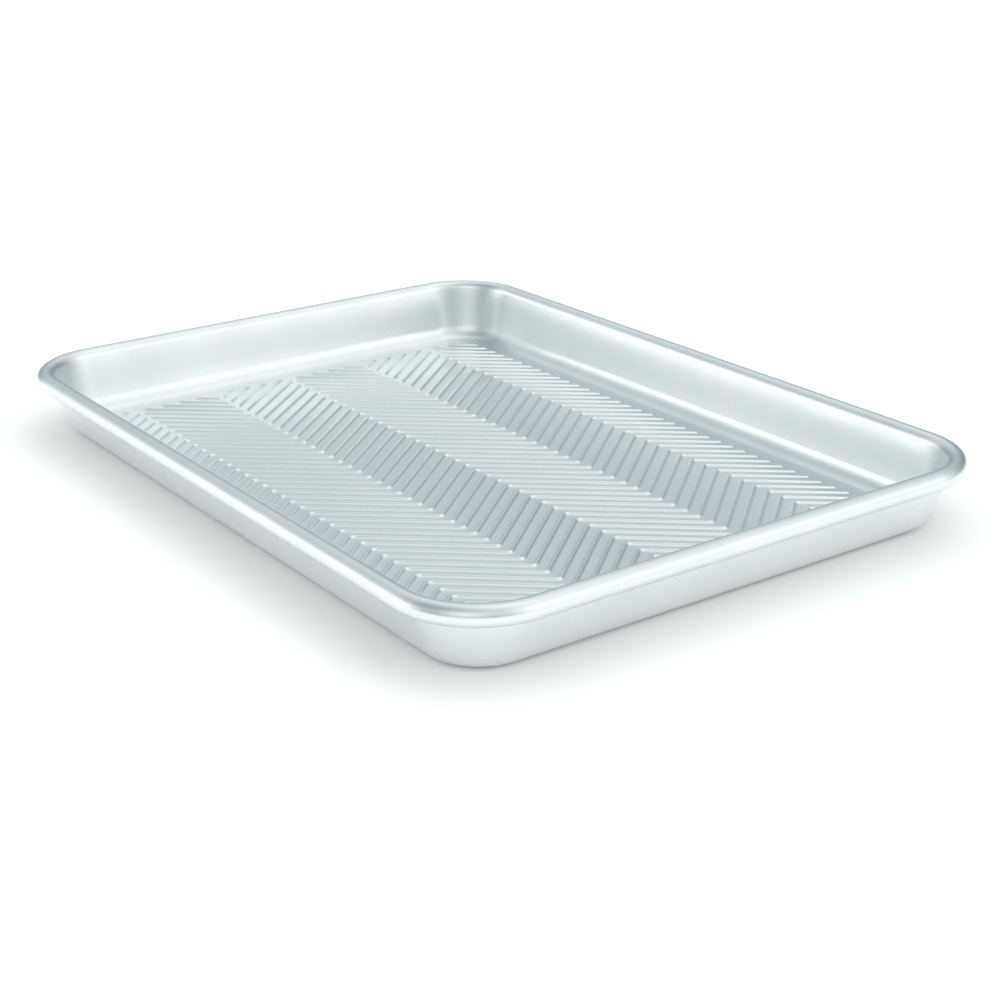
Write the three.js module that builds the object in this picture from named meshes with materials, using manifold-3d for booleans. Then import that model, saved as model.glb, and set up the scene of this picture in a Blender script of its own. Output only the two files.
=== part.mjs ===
// A small sheet pan: one drawn aluminium sheet with a herringbone of ribs in its floor, and the
// steel wire that its rim is curled around. Millimetres, +Z up. The origin is on the table under
// the middle of the pan, X runs across the short side and Y along the long side.
import * as THREE from "three";
import { mergeVertices } from "three/addons/utils/BufferGeometryUtils.js";
import Module from "manifold-3d";

// Driving dimensions of the pan, in millimetres and degrees
const PAN_LENGTH = 332; // over the rim, along Y
const PAN_WIDTH = 241; // over the rim, along X
const PAN_HEIGHT = 27.4; // from the table to the top of the rim
const SHEET = 1; // thickness of the aluminium
const WALL_DRAFT = 12; // how far the walls lean outwards
const FLOOR_FILLET = 8; // inner radius between the floor and the walls
const FLOOR_CORNER_RADIUS = 14; // of the flat floor, seen from above
const WIRE_DIAMETER = 5; // of the steel wire in the rim
const WIRE_CLEARANCE = 0.3; // between the wire and the sheet around it
const WIRE_JOINT_GAP = 0.6; // between the two butted ends of the wire
const CURL_MOUTH = 0.8; // between the edge of the curl and the wall

// Driving dimensions of the ribs
const BAND_WIDTH = 37.6; // across X, from one turn of the herringbone to the next
const RIB_ANGLE = 41; // between a rib and X
const RIB_PITCH = 7.24; // from rib to rib, along Y
const RIB_PHASE = 2.9; // Y of the rib that turns nearest to the middle of the floor
const RIB_BASE = 2.4; // width of a rib at the floor
const RIB_CROWN = 0.9; // width of its flat top
const RIB_HEIGHT = 0.7; // above the floor
const RIB_MARGIN = 1.5; // from the ends of the ribs to the start of the fillet
const GROOVE_INSET = 0.2; // how much a groove under a rib is narrower, on each side
const RIB_ROOT = 0.4; // straight foot of a rib inside the sheet, and of a groove below the floor

// Facets
const CORNER_STEPS = 7; // in each rounded corner, seen from above
const FILLET_STEPS = 4;
const CURL_STEPS = 3; // in each quarter of the curl
const WIRE_SIDES = 12;

const wasm = await Module();
wasm.setup();

const draft = THREE.MathUtils.degToRad(WALL_DRAFT);
const wireRadius = WIRE_DIAMETER / 2;
const curlInside = wireRadius + WIRE_CLEARANCE;
const curlOutside = curlInside + SHEET;

// The section is drawn in (u, z): u is measured outwards from the outermost edge of the rim.
// The wall's inner face touches the outside of the curl, so both share one tangent.
const curlCentre = new THREE.Vector2(-curlOutside, PAN_HEIGHT - curlOutside);
const wallAngle = Math.PI - draft; // from the curl's centre to where the wall meets the curl
const wallTop = onCircle(curlCentre, curlOutside, wallAngle);
const filletZ = SHEET + FLOOR_FILLET;
const filletRun = (wallTop.y - filletZ) * Math.sin(draft) + FLOOR_FILLET;
const filletCentre = new THREE.Vector2(wallTop.x - filletRun / Math.cos(draft), filletZ);
const floorEdge = filletCentre.x;

// Half the size of the flat floor
const floorHalfWidth = PAN_WIDTH / 2 + floorEdge;
const floorHalfLength = PAN_LENGTH / 2 + floorEdge;

function onCircle(centre, radius, angle) {
  return new THREE.Vector2(Math.cos(angle), Math.sin(angle)).multiplyScalar(radius).add(centre);
}

// Points along an arc, without its last point
function arc(centre, radius, from, to, steps) {
  const points = [];
  for (let step = 0; step < steps; step += 1) {
    points.push(onCircle(centre, radius, from + ((to - from) * step) / steps));
  }
  return points;
}

// A rounded rectangle seen from above, anticlockwise, at distance u outside the rim's edge
function outline(u) {
  const radius = FLOOR_CORNER_RADIUS + u - floorEdge;
  const middleX = floorHalfWidth - FLOOR_CORNER_RADIUS;
  const middleY = floorHalfLength - FLOOR_CORNER_RADIUS;
  const points = [];
  for (let corner = 0; corner < 4; corner += 1) {
    const start = (corner * Math.PI) / 2;
    const signX = corner === 0 || corner === 3 ? 1 : -1;
    const signY = corner < 2 ? 1 : -1;
    const centre = new THREE.Vector2(signX * middleX, signY * middleY);
    for (let step = 0; step <= CORNER_STEPS; step += 1) {
      points.push(onCircle(centre, radius, start + (step * Math.PI) / 2 / CORNER_STEPS));
    }
  }
  return points;
}

// The curl's turning points: the wall, the top, the outside, the underside and the free edge
function curlTurns() {
  const mouth = Math.acos((curlInside - CURL_MOUTH) / curlOutside);
  return [wallAngle, Math.PI / 2, 0, -Math.PI / 2, wallAngle + mouth - 2 * Math.PI];
}

// One face of the sheet, from the flat floor up the wall and round the curl
function sheetFace(filletRadius, curlRadius) {
  const points = arc(filletCentre, filletRadius, -Math.PI / 2, -draft, FILLET_STEPS);
  points.push(onCircle(filletCentre, filletRadius, -draft));
  const turns = curlTurns();
  for (let turn = 1; turn < turns.length; turn += 1) {
    points.push(...arc(curlCentre, curlRadius, turns[turn - 1], turns[turn], CURL_STEPS));
  }
  points.push(onCircle(curlCentre, curlRadius, turns.at(-1)));
  return points;
}

function solidGeometry(positions, triangles) {
  const geometry = new THREE.BufferGeometry();
  geometry.setAttribute("position", new THREE.Float32BufferAttribute(positions, 3));
  geometry.setIndex(triangles);
  return geometry;
}

// Triangles between neighbouring rows of points, where each row has the same number of points
function skin(rows, columns, closedRows, closedColumns) {
  const triangles = [];
  const lastRow = closedRows ? rows : rows - 1;
  const lastColumn = closedColumns ? columns : columns - 1;
  for (let row = 0; row < lastRow; row += 1) {
    for (let column = 0; column < lastColumn; column += 1) {
      const nextRow = (row + 1) % rows;
      const nextColumn = (column + 1) % columns;
      const a = row * columns + column;
      const b = nextRow * columns + column;
      const c = nextRow * columns + nextColumn;
      const d = row * columns + nextColumn;
      triangles.push(a, b, c, a, c, d);
    }
  }
  return triangles;
}

// The fan of triangles that closes a flat ring of points
function fan(ring) {
  const triangles = [];
  for (let point = 1; point < ring.length - 1; point += 1) {
    triangles.push(ring[0], ring[point], ring[point + 1]);
  }
  return triangles;
}

function toManifold(geometry) {
  const plain = geometry.clone();
  plain.deleteAttribute("normal");
  plain.deleteAttribute("uv");
  const merged = mergeVertices(plain);
  const vertProperties = new Float32Array(merged.getAttribute("position").array);
  const triVerts = new Uint32Array(merged.getIndex().array);
  return new wasm.Manifold(new wasm.Mesh({ numProp: 3, vertProperties, triVerts }));
}

function toGeometry(manifold) {
  const mesh = manifold.getMesh();
  return solidGeometry(mesh.vertProperties, Array.from(mesh.triVerts));
}

// The drawn sheet with a smooth floor: its section swept round the rim's outline
function plainShell() {
  const inside = sheetFace(FLOOR_FILLET, curlOutside);
  const outside = sheetFace(FLOOR_FILLET + SHEET, curlInside);
  const section = [...inside, ...outside.reverse()];
  const positions = [];
  for (const { x, y } of section) {
    for (const point of outline(x)) {
      positions.push(point.x, point.y, y);
    }
  }
  const columns = outline(0).length;
  const triangles = skin(section.length, columns, false, true);
  const top = Array.from({ length: columns }, (_, column) => column);
  const bottom = top.map((column) => (section.length - 1) * columns + column).reverse();
  triangles.push(...fan(top), ...fan(bottom));
  return solidGeometry(positions, triangles);
}

// Bars that zigzag across the floor side by side, all with one section given in (y, z)
function herringbone(section) {
  const bands = Math.ceil(floorHalfWidth / BAND_WIDTH);
  const rise = BAND_WIDTH * Math.tan(THREE.MathUtils.degToRad(RIB_ANGLE));
  const stations = Array.from({ length: 2 * bands + 1 }, (_, index) => index - bands);
  const first = Math.ceil((-floorHalfLength - RIB_PHASE) / RIB_PITCH) - 1;
  const last = Math.floor((floorHalfLength + rise - RIB_PHASE) / RIB_PITCH) + 1;
  const positions = [];
  const triangles = [];
  for (let bar = first; bar <= last; bar += 1) {
    const base = positions.length / 3;
    for (const station of stations) {
      const turn = RIB_PHASE + bar * RIB_PITCH - (station % 2 === 0 ? 0 : rise);
      for (const { x, y } of section) {
        positions.push(station * BAND_WIDTH, turn + x, y);
      }
    }
    const start = Array.from({ length: section.length }, (_, point) => point);
    const end = start.map((point) => (stations.length - 1) * section.length + point);
    const faces = [
      ...skin(stations.length, section.length, false, true),
      ...fan(start),
      ...fan(end.reverse()),
    ];
    triangles.push(...faces.map((index) => index + base));
  }
  return solidGeometry(positions, triangles);
}

// A trapezium in (y, z) on a straight root, clockwise from the lower left corner. Its widths are
// measured square to the bar, so they are longer along Y.
function barSection(baseWidth, crownWidth, baseZ, rootZ) {
  const slant = Math.cos(THREE.MathUtils.degToRad(RIB_ANGLE));
  const base = baseWidth / 2 / slant;
  const crown = crownWidth / 2 / slant;
  return [
    new THREE.Vector2(-base, rootZ),
    new THREE.Vector2(-base, baseZ),
    new THREE.Vector2(-crown, baseZ + RIB_HEIGHT),
    new THREE.Vector2(crown, baseZ + RIB_HEIGHT),
    new THREE.Vector2(base, baseZ),
    new THREE.Vector2(base, rootZ),
  ];
}

// The flat part of the floor inside a margin, as an upright block that reaches past both faces
function floorBlock(margin) {
  const shape = new THREE.Shape(outline(floorEdge - margin));
  const block = new THREE.ExtrudeGeometry(shape, { depth: 2 * PAN_HEIGHT, bevelEnabled: false });
  return block.translate(0, 0, -PAN_HEIGHT);
}

// Herringbone bars that end at the margin
function trimmedBars(section, margin) {
  return toManifold(herringbone(section)).intersect(toManifold(floorBlock(margin)));
}

// The shell with its ribs raised out of the floor, and a groove pressed into the back of each rib
function panBody() {
  const rib = barSection(RIB_BASE, RIB_CROWN, SHEET, SHEET - RIB_ROOT);
  const grooveBase = RIB_BASE - 2 * GROOVE_INSET;
  const grooveCrown = RIB_CROWN - 2 * GROOVE_INSET;
  const groove = barSection(grooveBase, grooveCrown, 0, -RIB_ROOT);
  const ribs = trimmedBars(rib, RIB_MARGIN);
  const grooves = trimmedBars(groove, RIB_MARGIN + GROOVE_INSET);
  return toGeometry(toManifold(plainShell()).add(ribs).subtract(grooves));
}

// The wire follows the rim inside the curl, with its joint in the middle of one short side
function rimWire() {
  const positions = [];
  for (let side = 0; side < WIRE_SIDES; side += 1) {
    const point = onCircle(curlCentre, wireRadius, (-2 * Math.PI * side) / WIRE_SIDES);
    const ring = outline(point.x);
    const afterJoint = ring.slice(CORNER_STEPS + 1);
    const beforeJoint = ring.slice(0, CORNER_STEPS + 1);
    const jointY = PAN_LENGTH / 2 + point.x;
    const path = [
      new THREE.Vector2(-WIRE_JOINT_GAP / 2, jointY),
      ...afterJoint,
      ...beforeJoint,
      new THREE.Vector2(WIRE_JOINT_GAP / 2, jointY),
    ];
    for (const { x, y } of path) {
      positions.push(x, y, point.y);
    }
  }
  const columns = positions.length / 3 / WIRE_SIDES;
  const start = Array.from({ length: WIRE_SIDES }, (_, side) => side * columns);
  const end = start.map((index) => index + columns - 1);
  const triangles = [
    ...skin(WIRE_SIDES, columns, true, false),
    ...fan(start.reverse()),
    ...fan(end),
  ];
  return solidGeometry(positions, triangles);
}

function namedMesh(name, geometry, color, roughness) {
  const material = new THREE.MeshStandardMaterial({ color, roughness, metalness: 1 });
  const mesh = new THREE.Mesh(geometry, material);
  mesh.name = name;
  return mesh;
}

const sheetPan = new THREE.Group();
sheetPan.add(namedMesh("pan_body", panBody(), 0xd5dcdc, 0.35));
sheetPan.add(namedMesh("rim_wire", rimWire(), 0xa9adb0, 0.5));

export default sheetPan;
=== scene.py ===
"""Looks of a small aluminium sheet pan: a smooth drawn shell with pressed herringbone ribs, the steel
wire inside its rim, a white studio floor, soft light and the camera. Metres, in the CAD frame."""
import math

import bmesh
import bpy
import numpy as np
from mathutils import Matrix, Vector


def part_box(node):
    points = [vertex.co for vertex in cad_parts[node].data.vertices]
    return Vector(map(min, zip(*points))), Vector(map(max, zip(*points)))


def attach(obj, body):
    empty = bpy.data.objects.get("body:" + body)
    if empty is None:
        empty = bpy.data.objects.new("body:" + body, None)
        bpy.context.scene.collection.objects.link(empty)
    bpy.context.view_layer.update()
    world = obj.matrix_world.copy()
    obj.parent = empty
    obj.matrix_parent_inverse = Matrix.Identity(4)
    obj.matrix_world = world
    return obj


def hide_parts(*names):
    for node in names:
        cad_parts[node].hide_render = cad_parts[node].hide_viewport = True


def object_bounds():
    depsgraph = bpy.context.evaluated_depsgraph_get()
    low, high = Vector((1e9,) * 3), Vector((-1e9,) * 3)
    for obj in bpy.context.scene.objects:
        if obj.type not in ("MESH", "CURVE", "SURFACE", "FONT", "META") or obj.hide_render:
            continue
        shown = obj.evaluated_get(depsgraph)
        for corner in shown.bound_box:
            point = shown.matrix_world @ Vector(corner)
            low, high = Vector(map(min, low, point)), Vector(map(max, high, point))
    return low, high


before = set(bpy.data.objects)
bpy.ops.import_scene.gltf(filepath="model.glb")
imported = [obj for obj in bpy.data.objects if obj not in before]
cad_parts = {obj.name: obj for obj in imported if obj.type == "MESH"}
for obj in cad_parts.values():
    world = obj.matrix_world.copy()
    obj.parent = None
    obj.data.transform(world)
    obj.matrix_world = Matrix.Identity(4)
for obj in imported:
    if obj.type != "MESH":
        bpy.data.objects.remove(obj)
cad_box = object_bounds()

MM = 0.001

# The pan's outer size comes from the frame
HALF_WIDTH = cad_box[1].x
HALF_LENGTH = cad_box[1].y
HEIGHT = cad_box[1].z
wire_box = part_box("rim_wire")
WIRE_RADIUS = (wire_box[1].z - wire_box[0].z) / 2

# Section of the drawn sheet
SHEET = 1.0 * MM
WIRE_CLEARANCE = 0.3 * MM
CURL_MOUTH = 0.8 * MM
WALL_DRAFT = math.radians(12)
FLOOR_FILLET = 8.0 * MM
FLOOR_CORNER_RADIUS = 14.0 * MM

# Herringbone ribs
BAND_WIDTH = 37.6 * MM
RIB_ANGLE = math.radians(41)
RIB_PITCH = 7.24 * MM
RIB_PHASE = 2.9 * MM
RIB_HEIGHT = 0.7 * MM
RIB_MARGIN = 1.5 * MM
RIB_FADE = 2.2 * MM  # length over which a rib's end sinks into the floor
RIB_SHARPNESS = 6.0  # power of the raised cosine that shapes a rib
GROOVE_SHARPNESS = 9.0
TURN_ROUNDING = 1.4 * MM  # half the length of the bend where a rib turns

# Mesh density
RIB_ROWS = (0, 0.03, 0.06, 0.09, 0.12, 0.15, 0.185, 0.22, 0.27, 0.35, 0.5)  # in pitches from the crest
TURN_COLUMNS = (-1.0, -0.5, 0.0, 0.5, 1.0)
CORNER_CUTS = 16
FADE_RINGS = 4
FILLET_RINGS = 8
WALL_RINGS = 3
CURL_RINGS = 8  # in each quarter turn
LIP_RINGS = 4
GRID_OVERHANG = 1.0 * MM  # how far the flat grid reaches past the floor before it is trimmed
TRIM_REACH = 1.0 * MM  # how far inside a cut a corner still marks its face for trimming
TRIM_SNAP = 0.01 * MM
DRAWN = "drawn"  # name of the attribute that holds the place on the undrawn sheet

# Finishes; cells are counted to the metre, depths are in metres
NOISE_LOW = 0.2
NOISE_HIGH = 0.8
ALUMINIUM_BRIGHT = (0.88, 0.905, 0.91, 1)
ALUMINIUM_DULL = (0.84, 0.87, 0.88, 1)
ALUMINIUM_ROUGHNESS = (0.24, 0.3)
GRAIN_CELLS = (2500, 60, 2500)
GRAIN_DETAIL = 1
GRAIN_DEPTH = 0.0015 * MM
STREAK_CELLS = (420, 420, 25)
STREAK_DETAIL = 1
STREAK_DEPTH = 0.0025 * MM
SMUDGE_CELLS = (30, 30, 30)
SMUDGE_DETAIL = 2
ZINC_GRAINS = 700
ZINC_DARK = (0.42, 0.44, 0.45, 1)
ZINC_PALE = (0.6, 0.62, 0.63, 1)
ZINC_ROUGHNESS = (0.4, 0.6)
ZINC_SCUFF_CELLS = (300, 300, 300)
ZINC_SCUFF_DETAIL = 3
ZINC_SCUFF_DEPTH = 0.01 * MM

# Studio. A panel has an azimuth and elevation in degrees, a sharpness and a colour.
FLOOR_SIZE = 100.0
FLOOR_COLOUR = (0.95, 0.945, 0.94, 1)
FLOOR_LIFT = 0.4  # glow that makes the open table white
FLOOR_SHADE_REACH = 30.0 * MM  # distance over which the glow fades close to the pan, a painted shadow round it
FLOOR_SHADE_SAMPLES = 4
ROOM_LIGHT = (0.12, 0.19, 0.205)
PANELS = {
    "back": (57, 31, 12, (0.38, 0.38, 0.38)),
    "back_left": (98, 38, 10, (0.32, 0.32, 0.32)),
    "top": (14, 70, 6, (0.85, 0.83, 0.81)),
    "front": (-56, 21, 5, (1.12, 1.1, 1.07)),
    "left": (138, 3, 9, (1.55, 1.52, 1.48)),
    "camera_side": (-142, 30, 7, (0.85, 0.83, 0.81)),
}

# Camera, fitted to the straight edges of the rim in the photograph
CAMERA_PLACE = Vector((-392.14, -575.18, 259.42)) * MM
CAMERA_AZIMUTH = math.radians(-35.284)
CAMERA_ELEVATION = math.radians(21.392)
CAMERA_ROLL = math.radians(-0.741)
CAMERA_FOCAL_PIXELS = 1873.9
PHOTO_PIXELS = 1000
SENSOR_MM = 36.0

curl_inside = WIRE_RADIUS + WIRE_CLEARANCE
curl_outside = curl_inside + SHEET
wall_angle = math.pi - WALL_DRAFT


def on_circle(centre, radius, angle):
    return np.array([centre[0] + radius * math.cos(angle), centre[1] + radius * math.sin(angle)])


# The section is drawn in (u, z), with u outwards from the rim's outermost edge
curl_centre = np.array([-curl_outside, HEIGHT - curl_outside])
wall_top = on_circle(curl_centre, curl_outside, wall_angle)
fillet_z = SHEET + FLOOR_FILLET
fillet_run = (wall_top[1] - fillet_z) * math.sin(WALL_DRAFT) + FLOOR_FILLET
fillet_centre = np.array([wall_top[0] - fillet_run / math.cos(WALL_DRAFT), fillet_z])
floor_edge = fillet_centre[0]
corner_x = HALF_WIDTH + floor_edge - FLOOR_CORNER_RADIUS
corner_y = HALF_LENGTH + floor_edge - FLOOR_CORNER_RADIUS
rib_inset = RIB_MARGIN + RIB_FADE  # from the floor's edge to where the ribs start to sink


def outline_normals(points):
    """Outward normals, seen from above, of the rounded rectangles that points lie on."""
    over = np.abs(points) - np.array([corner_x, corner_y])
    corner = (over > 0).all(axis=1)
    side_x = over[:, 0] / FLOOR_CORNER_RADIUS > over[:, 1] / FLOOR_CORNER_RADIUS
    normals = np.where(side_x[:, None], [1.0, 0.0], [0.0, 1.0])
    lengths = np.linalg.norm(over[corner], axis=1)[:, None]
    normals[corner] = over[corner] / lengths
    return normals * np.where(points < 0, -1.0, 1.0)


def zigzag(x):
    """How far a rib is shifted along Y at x: a triangle wave whose turns are rounded."""
    turn = np.round(x / BAND_WIDTH)
    away = np.abs(x - turn * BAND_WIDTH)
    rounded = away ** 2 / (2 * TURN_ROUNDING) + TURN_ROUNDING / 2
    fall = np.where(away < TURN_ROUNDING, rounded, away) * math.tan(RIB_ANGLE)
    rise = BAND_WIDTH * math.tan(RIB_ANGLE)
    return np.where(turn % 2 == 0, -fall, fall - rise)


def rib_shape(points, sharpness):
    """Height of the ribs at points seen from above, from 0 to 1."""
    along = points[:, 1] - zigzag(points[:, 0]) - RIB_PHASE
    return np.abs(np.cos(math.pi * along / RIB_PITCH)) ** (2 * sharpness)


def floor_grid(half_x, half_y):
    """A flat grid whose rows run along the ribs and which covers the rectangle."""
    bands = math.ceil(half_x / BAND_WIDTH)
    columns = [turn * BAND_WIDTH + share * TURN_ROUNDING
               for turn in range(-bands + 1, bands) for share in TURN_COLUMNS]
    columns = np.array([-half_x - GRID_OVERHANG, *columns, half_x + GRID_OVERHANG])
    rise = BAND_WIDTH * math.tan(RIB_ANGLE)
    first = math.floor((-half_y - RIB_PHASE) / RIB_PITCH)
    last = math.ceil((half_y + rise - RIB_PHASE) / RIB_PITCH)
    shares = [*RIB_ROWS, *[-share for share in RIB_ROWS[1:-1]]]
    rows = RIB_PHASE + RIB_PITCH * np.sort(np.add.outer(np.arange(first, last + 1), shares).ravel())
    x = np.tile(columns, len(rows))
    y = np.repeat(rows, len(columns)) + np.tile(zigzag(columns), len(rows))
    points = np.column_stack([x, y, np.zeros(len(x))])
    wide = len(columns)
    faces = [(r * wide + c, r * wide + c + 1, (r + 1) * wide + c + 1, (r + 1) * wide + c)
             for r in range(len(rows) - 1) for c in range(wide - 1)]
    reach = half_y + GRID_OVERHANG
    kept = [f for f in faces if any(abs(points[i, 1]) < reach for i in f)]
    return points, kept


def trim(mesh, place, normal, near):
    """Cuts away what lies beyond a plane from the faces with a corner that near accepts."""
    faces = [f for f in mesh.faces if any(near(v.co) for v in f.verts)]
    # Dictionaries keep their order, so each run numbers the points alike
    edges = dict.fromkeys(e for f in faces for e in f.edges)
    verts = dict.fromkeys(v for f in faces for v in f.verts)
    bmesh.ops.bisect_plane(mesh, geom=[*verts, *edges, *faces], dist=TRIM_SNAP,
                           plane_co=place, plane_no=normal, clear_outer=True)


def ribbed_floor():
    """Points, faces and the anticlockwise rim of the floor inside the ends of the ribs, all flat."""
    half_x = HALF_WIDTH + floor_edge - rib_inset
    half_y = HALF_LENGTH + floor_edge - rib_inset
    radius = FLOOR_CORNER_RADIUS - rib_inset
    points, faces = floor_grid(half_x, half_y)
    mesh = bmesh.new()
    verts = [mesh.verts.new(p) for p in points]
    for face in faces:
        mesh.faces.new([verts[i] for i in face])
    loose = [v for v in mesh.verts if not v.link_faces]
    bmesh.ops.delete(mesh, geom=loose, context="VERTS")
    for sign in (1, -1):
        trim(mesh, (sign * half_x, 0, 0), (sign, 0, 0),
             lambda co: sign * co.x > half_x - TRIM_REACH)
        trim(mesh, (0, sign * half_y, 0), (0, sign, 0),
             lambda co: sign * co.y > half_y - TRIM_REACH)
    for sign_x in (1, -1):
        for sign_y in (1, -1):
            def near(co):
                return (sign_x * co.x > corner_x - TRIM_REACH
                        and sign_y * co.y > corner_y - TRIM_REACH)
            for cut in range(CORNER_CUTS):
                angle = (cut + 0.5) / CORNER_CUTS * math.pi / 2
                normal = Vector((sign_x * math.cos(angle), sign_y * math.sin(angle), 0))
                centre = Vector((sign_x * corner_x, sign_y * corner_y, 0))
                trim(mesh, centre + normal * radius, normal, near)
    mesh.verts.index_update()
    flat = np.array([v.co for v in mesh.verts])
    polygons = [[v.index for v in f.verts] for f in mesh.faces]
    following = {}
    for edge in mesh.edges:
        if edge.is_boundary:
            loop = edge.link_loops[0]
            following[loop.vert.index] = loop.link_loop_next.vert.index
    mesh.free()
    start = next(iter(following))
    rim = [start]
    while following[rim[-1]] != start:
        rim.append(following[rim[-1]])
    return flat, polygons, rim


def arc(centre, radius, start, end, steps):
    return [on_circle(centre, radius, start + (end - start) * k / steps) for k in range(steps)]


def sheet_face(fillet_radius, curl_radius, curl_end):
    """One face of the sheet in (u, z), from the flat floor up the wall and round the curl."""
    points = arc(fillet_centre, fillet_radius, -math.pi / 2, -WALL_DRAFT, FILLET_RINGS)
    foot = on_circle(fillet_centre, fillet_radius, -WALL_DRAFT)
    head = on_circle(curl_centre, curl_radius, wall_angle)
    points += [foot + (head - foot) * k / WALL_RINGS for k in range(WALL_RINGS)]
    turns = [wall_angle, math.pi / 2, 0, -math.pi / 2, curl_end]
    for before, after in zip(turns, turns[1:]):
        points += arc(curl_centre, curl_radius, before, after, CURL_RINGS)
    return points


def sheet_section():
    """The closed path round the sheet, from the floor's upper face to its lower face."""
    mouth = math.acos((curl_inside - CURL_MOUTH) / curl_outside)
    curl_end = wall_angle + mouth - 2 * math.pi
    inside = sheet_face(FLOOR_FILLET, curl_outside, curl_end)
    outside = sheet_face(FLOOR_FILLET + SHEET, curl_inside, curl_end)
    lip_centre = on_circle(curl_centre, curl_inside + SHEET / 2, curl_end)
    lip = arc(lip_centre, SHEET / 2, curl_end, curl_end - math.pi, LIP_RINGS)
    last = on_circle(lip_centre, SHEET / 2, curl_end - math.pi)
    return inside + lip + [last] + outside[::-1]


def bridge(first, second):
    """Quads between two rings of point numbers."""
    count = len(first)
    return [(first[k], second[k], second[(k + 1) % count], first[(k + 1) % count])
            for k in range(count)]


def build_mesh(name, points, faces, drawn):
    """A smooth mesh; drawn holds, for each point, its place on the sheet before it was drawn."""
    mesh = bpy.data.meshes.new(name)
    mesh.from_pydata([tuple(p) for p in points], [], faces)
    mesh.update()
    mesh.shade_smooth()
    layer = mesh.attributes.new(DRAWN, "FLOAT_VECTOR", "POINT")
    layer.data.foreach_set("vector", np.ascontiguousarray(drawn, dtype=np.float32).ravel())
    piece = bpy.data.objects.new(name, mesh)
    bpy.context.scene.collection.objects.link(piece)
    return piece


def pan_shell():
    """The whole sheet: ribbed floor, faded rib ends, fillet, wall and curled rim, on both faces."""
    flat, polygons, rim = ribbed_floor()
    count = len(flat)
    edge = flat[rim, :2]
    normals = outline_normals(edge)
    top_ribs = rib_shape(flat[:, :2], RIB_SHARPNESS) * RIB_HEIGHT
    low_ribs = rib_shape(flat[:, :2], GROOVE_SHARPNESS) * RIB_HEIGHT
    top = np.column_stack([flat[:, :2], SHEET + top_ribs])
    low = np.column_stack([flat[:, :2], low_ribs])
    points = [top, low]
    drawn = [flat, flat]
    faces = [tuple(p) for p in polygons]
    faces += [tuple(i + count for i in reversed(p)) for p in polygons]
    shares = [(k + 1) / FADE_RINGS for k in range(FADE_RINGS)]

    def fade(share, ribs, base):
        left = (1 - share) ** 2 * (1 + 2 * share)  # a smooth step from 1 down to 0
        height = base + ribs[rim] * left
        return np.column_stack([edge + normals * RIB_FADE * share, height])

    section = np.array(sheet_section())
    lengths = np.cumsum(np.linalg.norm(np.diff(section, axis=0, prepend=section[:1]), axis=1))
    rings = [(fade(share, top_ribs, SHEET), 0.0) for share in shares]
    for (u, z), length in zip(section, lengths):
        outwards = u - floor_edge + rib_inset
        rings.append((np.column_stack([edge + normals * outwards, np.full(len(rim), z)]), length))
    rings += [(fade(share, low_ribs, 0.0), lengths[-1]) for share in reversed(shares)]
    previous = list(rim)
    start = 2 * count
    for ring, length in rings:
        numbers = list(range(start, start + len(rim)))
        points.append(ring)
        drawn.append(np.column_stack([edge, np.full(len(rim), length)]))
        faces += bridge(previous, numbers)
        previous = numbers
        start += len(rim)
    faces += bridge(previous, [i + count for i in rim])
    inside_box = np.clip(np.concatenate(points), cad_box[0], cad_box[1])
    return build_mesh("pan_shell", inside_box, faces, np.concatenate(drawn))


def new_material(name):
    material = bpy.data.materials.new(name)
    material.use_nodes = True
    return material, material.node_tree, material.node_tree.nodes["Principled BSDF"]


def stretched_noise(tree, coordinates, cells, detail):
    """Noise with the given number of cells to the metre along each axis of the coordinates."""
    mapping = tree.nodes.new("ShaderNodeMapping")
    mapping.inputs["Scale"].default_value = cells
    noise = tree.nodes.new("ShaderNodeTexNoise")
    noise.inputs["Scale"].default_value = 1.0
    noise.inputs["Detail"].default_value = detail
    tree.links.new(coordinates, mapping.inputs["Vector"])
    tree.links.new(mapping.outputs["Vector"], noise.inputs["Vector"])
    return noise.outputs["Fac"]


def spread(tree, value, low, high):
    """Takes the middle of a noise's range to the range from low to high."""
    node = tree.nodes.new("ShaderNodeMapRange")
    node.interpolation_type = "SMOOTHSTEP"
    node.inputs["From Min"].default_value = NOISE_LOW
    node.inputs["From Max"].default_value = NOISE_HIGH
    node.inputs["To Min"].default_value = low
    node.inputs["To Max"].default_value = high
    tree.links.new(value, node.inputs["Value"])
    return node.outputs["Result"]


def blend(tree, share, first, second):
    """A colour between two others."""
    node = tree.nodes.new("ShaderNodeMix")
    node.data_type = "RGBA"
    tree.links.new(share, node.inputs["Factor"])
    for name, colour in (("A", first), ("B", second)):
        socket = next(i for i in node.inputs if i.name == name and i.type == "RGBA")
        socket.default_value = colour
    return next(o for o in node.outputs if o.type == "RGBA")


def bump(tree, height, distance, normal=None):
    node = tree.nodes.new("ShaderNodeBump")
    node.inputs["Strength"].default_value = 1.0
    node.inputs["Distance"].default_value = distance
    tree.links.new(height, node.inputs["Height"])
    if normal:
        tree.links.new(normal, node.inputs["Normal"])
    return node.outputs["Normal"]


def joined(tree, kind, operation, first, second):
    """A math node of an output and a second output or constant."""
    node = tree.nodes.new(kind)
    node.operation = operation
    tree.links.new(first, node.inputs[0])
    if isinstance(second, bpy.types.NodeSocket):
        tree.links.new(second, node.inputs[1])
    elif second is not None:
        node.inputs[1].default_value = second
    return next(o for o in node.outputs if o.enabled)


def math_node(tree, operation, first, second=None):
    return joined(tree, "ShaderNodeMath", operation, first, second)


def vector_node(tree, operation, first, second):
    return joined(tree, "ShaderNodeVectorMath", operation, first, second)


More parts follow.
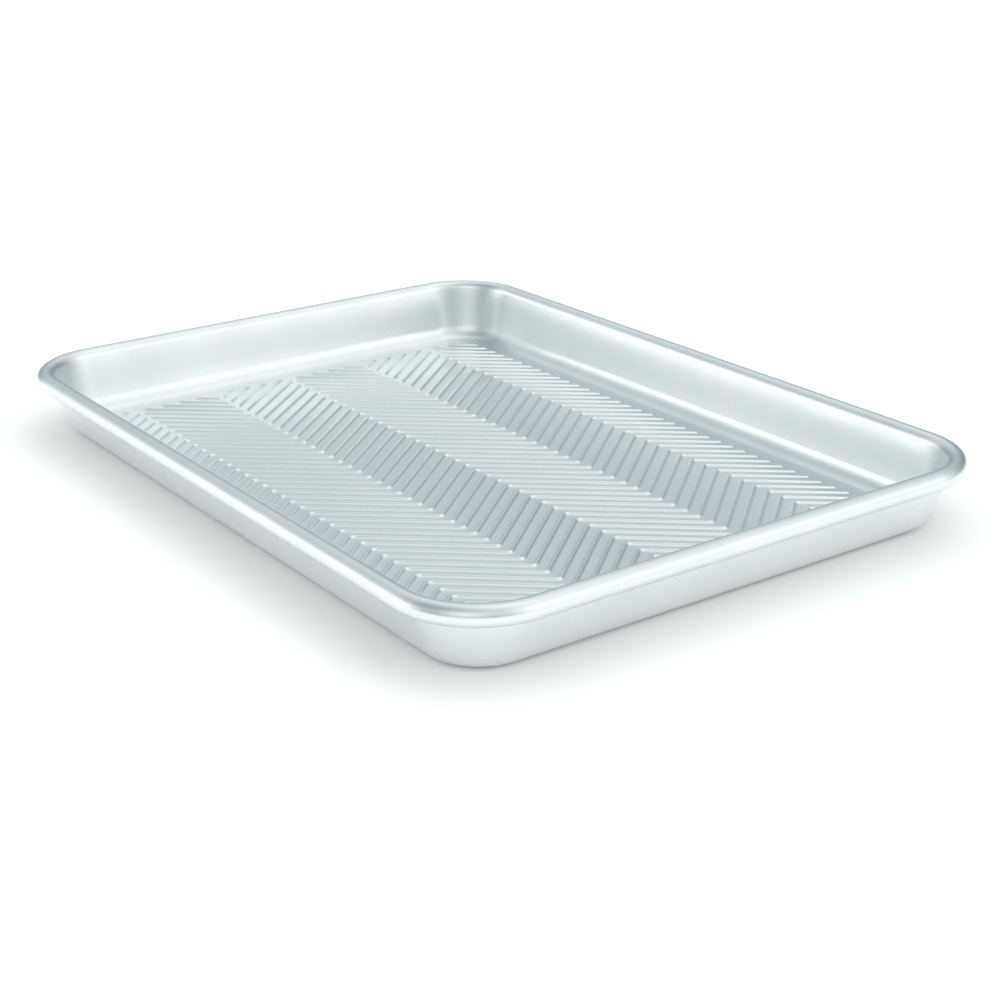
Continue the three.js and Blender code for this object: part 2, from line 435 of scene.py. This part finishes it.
def aluminium():
    """Bright drawn sheet: rolling grain along the pan, streaks up the walls, faint smudges."""
    material, tree, shader = new_material("drawn_aluminium")
    place = tree.nodes.new("ShaderNodeAttribute")
    place.attribute_name = DRAWN
    sheet = place.outputs["Vector"]
    grain = stretched_noise(tree, sheet, GRAIN_CELLS, GRAIN_DETAIL)
    streaks = stretched_noise(tree, sheet, STREAK_CELLS, STREAK_DETAIL)
    smudges = stretched_noise(tree, sheet, SMUDGE_CELLS, SMUDGE_DETAIL)
    colour = blend(tree, spread(tree, smudges, 0, 1), ALUMINIUM_BRIGHT, ALUMINIUM_DULL)
    tree.links.new(colour, shader.inputs["Base Color"])
    tree.links.new(spread(tree, smudges, *ALUMINIUM_ROUGHNESS), shader.inputs["Roughness"])
    shader.inputs["Metallic"].default_value = 1.0
    normal = bump(tree, streaks, STREAK_DEPTH, bump(tree, grain, GRAIN_DEPTH))
    tree.links.new(normal, shader.inputs["Normal"])
    return material


def galvanised():
    """Dull zinc with pale and dark grains."""
    material, tree, shader = new_material("galvanised_wire")
    place = tree.nodes.new("ShaderNodeTexCoord")
    grains = tree.nodes.new("ShaderNodeTexVoronoi")
    grains.inputs["Scale"].default_value = ZINC_GRAINS
    tree.links.new(place.outputs["Object"], grains.inputs["Vector"])
    shade = tree.nodes.new("ShaderNodeSeparateColor")
    tree.links.new(grains.outputs["Color"], shade.inputs["Color"])
    colour = blend(tree, shade.outputs["Red"], ZINC_DARK, ZINC_PALE)
    tree.links.new(colour, shader.inputs["Base Color"])
    scuffs = stretched_noise(tree, place.outputs["Object"], ZINC_SCUFF_CELLS, ZINC_SCUFF_DETAIL)
    tree.links.new(spread(tree, scuffs, *ZINC_ROUGHNESS), shader.inputs["Roughness"])
    tree.links.new(bump(tree, scuffs, ZINC_SCUFF_DEPTH), shader.inputs["Normal"])
    shader.inputs["Metallic"].default_value = 1.0
    return material


def studio_floor():
    """A white table. Its glow, seen directly or in gloss, fades close to the pan as a painted shadow,
    added to the real shadow the pan casts.
    """
    bpy.ops.mesh.primitive_plane_add(size=FLOOR_SIZE)
    floor = bpy.context.object
    floor.name = "studio_floor"
    material, tree, shader = new_material("studio_floor")
    shader.inputs["Base Color"].default_value = FLOOR_COLOUR
    shader.inputs["Roughness"].default_value = 1.0
    shader.inputs["Specular IOR Level"].default_value = 0.0
    shader.inputs["Emission Color"].default_value = FLOOR_COLOUR
    path = tree.nodes.new("ShaderNodeLightPath")
    seen = math_node(tree, "MAXIMUM", path.outputs["Is Camera Ray"], path.outputs["Is Glossy Ray"])
    seen = math_node(tree, "MAXIMUM", seen, path.outputs["Is Transmission Ray"])
    shade = tree.nodes.new("ShaderNodeAmbientOcclusion")
    shade.samples = FLOOR_SHADE_SAMPLES
    shade.inputs["Distance"].default_value = FLOOR_SHADE_REACH
    # The occlusion dims the glow near the pan: painted shade on the table
    glow = math_node(tree, "MULTIPLY", shade.outputs["AO"], FLOOR_LIFT)
    lift = math_node(tree, "MULTIPLY", glow, seen)
    tree.links.new(lift, shader.inputs["Emission Strength"])
    floor.data.materials.append(material)


def direction(azimuth, elevation):
    """A unit vector; azimuths run from +X towards +Y, in degrees."""
    across = math.cos(math.radians(elevation))
    return (across * math.cos(math.radians(azimuth)), across * math.sin(math.radians(azimuth)),
            math.sin(math.radians(elevation)))


def studio_world():
    """A dim room with soft panels of light: each fades evenly around its own direction."""
    world = bpy.data.worlds.new("studio")
    world.use_nodes = True
    bpy.context.scene.world = world
    tree = world.node_tree
    background = tree.nodes["Background"]
    place = tree.nodes.new("ShaderNodeTexCoord")
    total = None
    for azimuth, elevation, sharpness, colour in PANELS.values():
        facing = vector_node(tree, "DOT_PRODUCT", place.outputs["Generated"],
                             direction(azimuth, elevation))
        away = math_node(tree, "SUBTRACT", facing, 1.0)
        glow = math_node(tree, "EXPONENT", math_node(tree, "MULTIPLY", away, sharpness))
        scale = tree.nodes.new("ShaderNodeVectorMath")
        scale.operation = "SCALE"
        scale.inputs[0].default_value = colour
        tree.links.new(glow, scale.inputs["Scale"])
        light = scale.outputs["Vector"]
        total = vector_node(tree, "ADD", light, ROOM_LIGHT if total is None else total)
    tree.links.new(total, background.inputs["Color"])
    background.inputs["Strength"].default_value = 1.0


def studio_camera():
    data = bpy.data.cameras.new("camera")
    data.sensor_width = SENSOR_MM
    data.lens = CAMERA_FOCAL_PIXELS / PHOTO_PIXELS * SENSOR_MM
    camera = bpy.data.objects.new("camera", data)
    bpy.context.scene.collection.objects.link(camera)
    flat = math.cos(CAMERA_ELEVATION)
    back = Vector((flat * math.sin(CAMERA_AZIMUTH), -flat * math.cos(CAMERA_AZIMUTH),
                   math.sin(CAMERA_ELEVATION)))
    right = Vector((0, 0, 1)).cross(back).normalized()
    above = back.cross(right)
    turned = right * math.cos(CAMERA_ROLL) + above * math.sin(CAMERA_ROLL)
    upright = back.cross(turned)
    camera.matrix_world = Matrix.Translation(CAMERA_PLACE) @ Matrix(
        (turned, upright, back)).transposed().to_4x4()
    bpy.context.scene.camera = camera


shell = pan_shell()
shell.data.materials.append(aluminium())
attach(shell, "root")
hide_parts("pan_body")

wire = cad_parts["rim_wire"]
wire.data.materials.clear()
wire.data.materials.append(galvanised())

studio_floor()
studio_world()
studio_camera()
bpy.context.scene.view_settings.view_transform = "Standard"
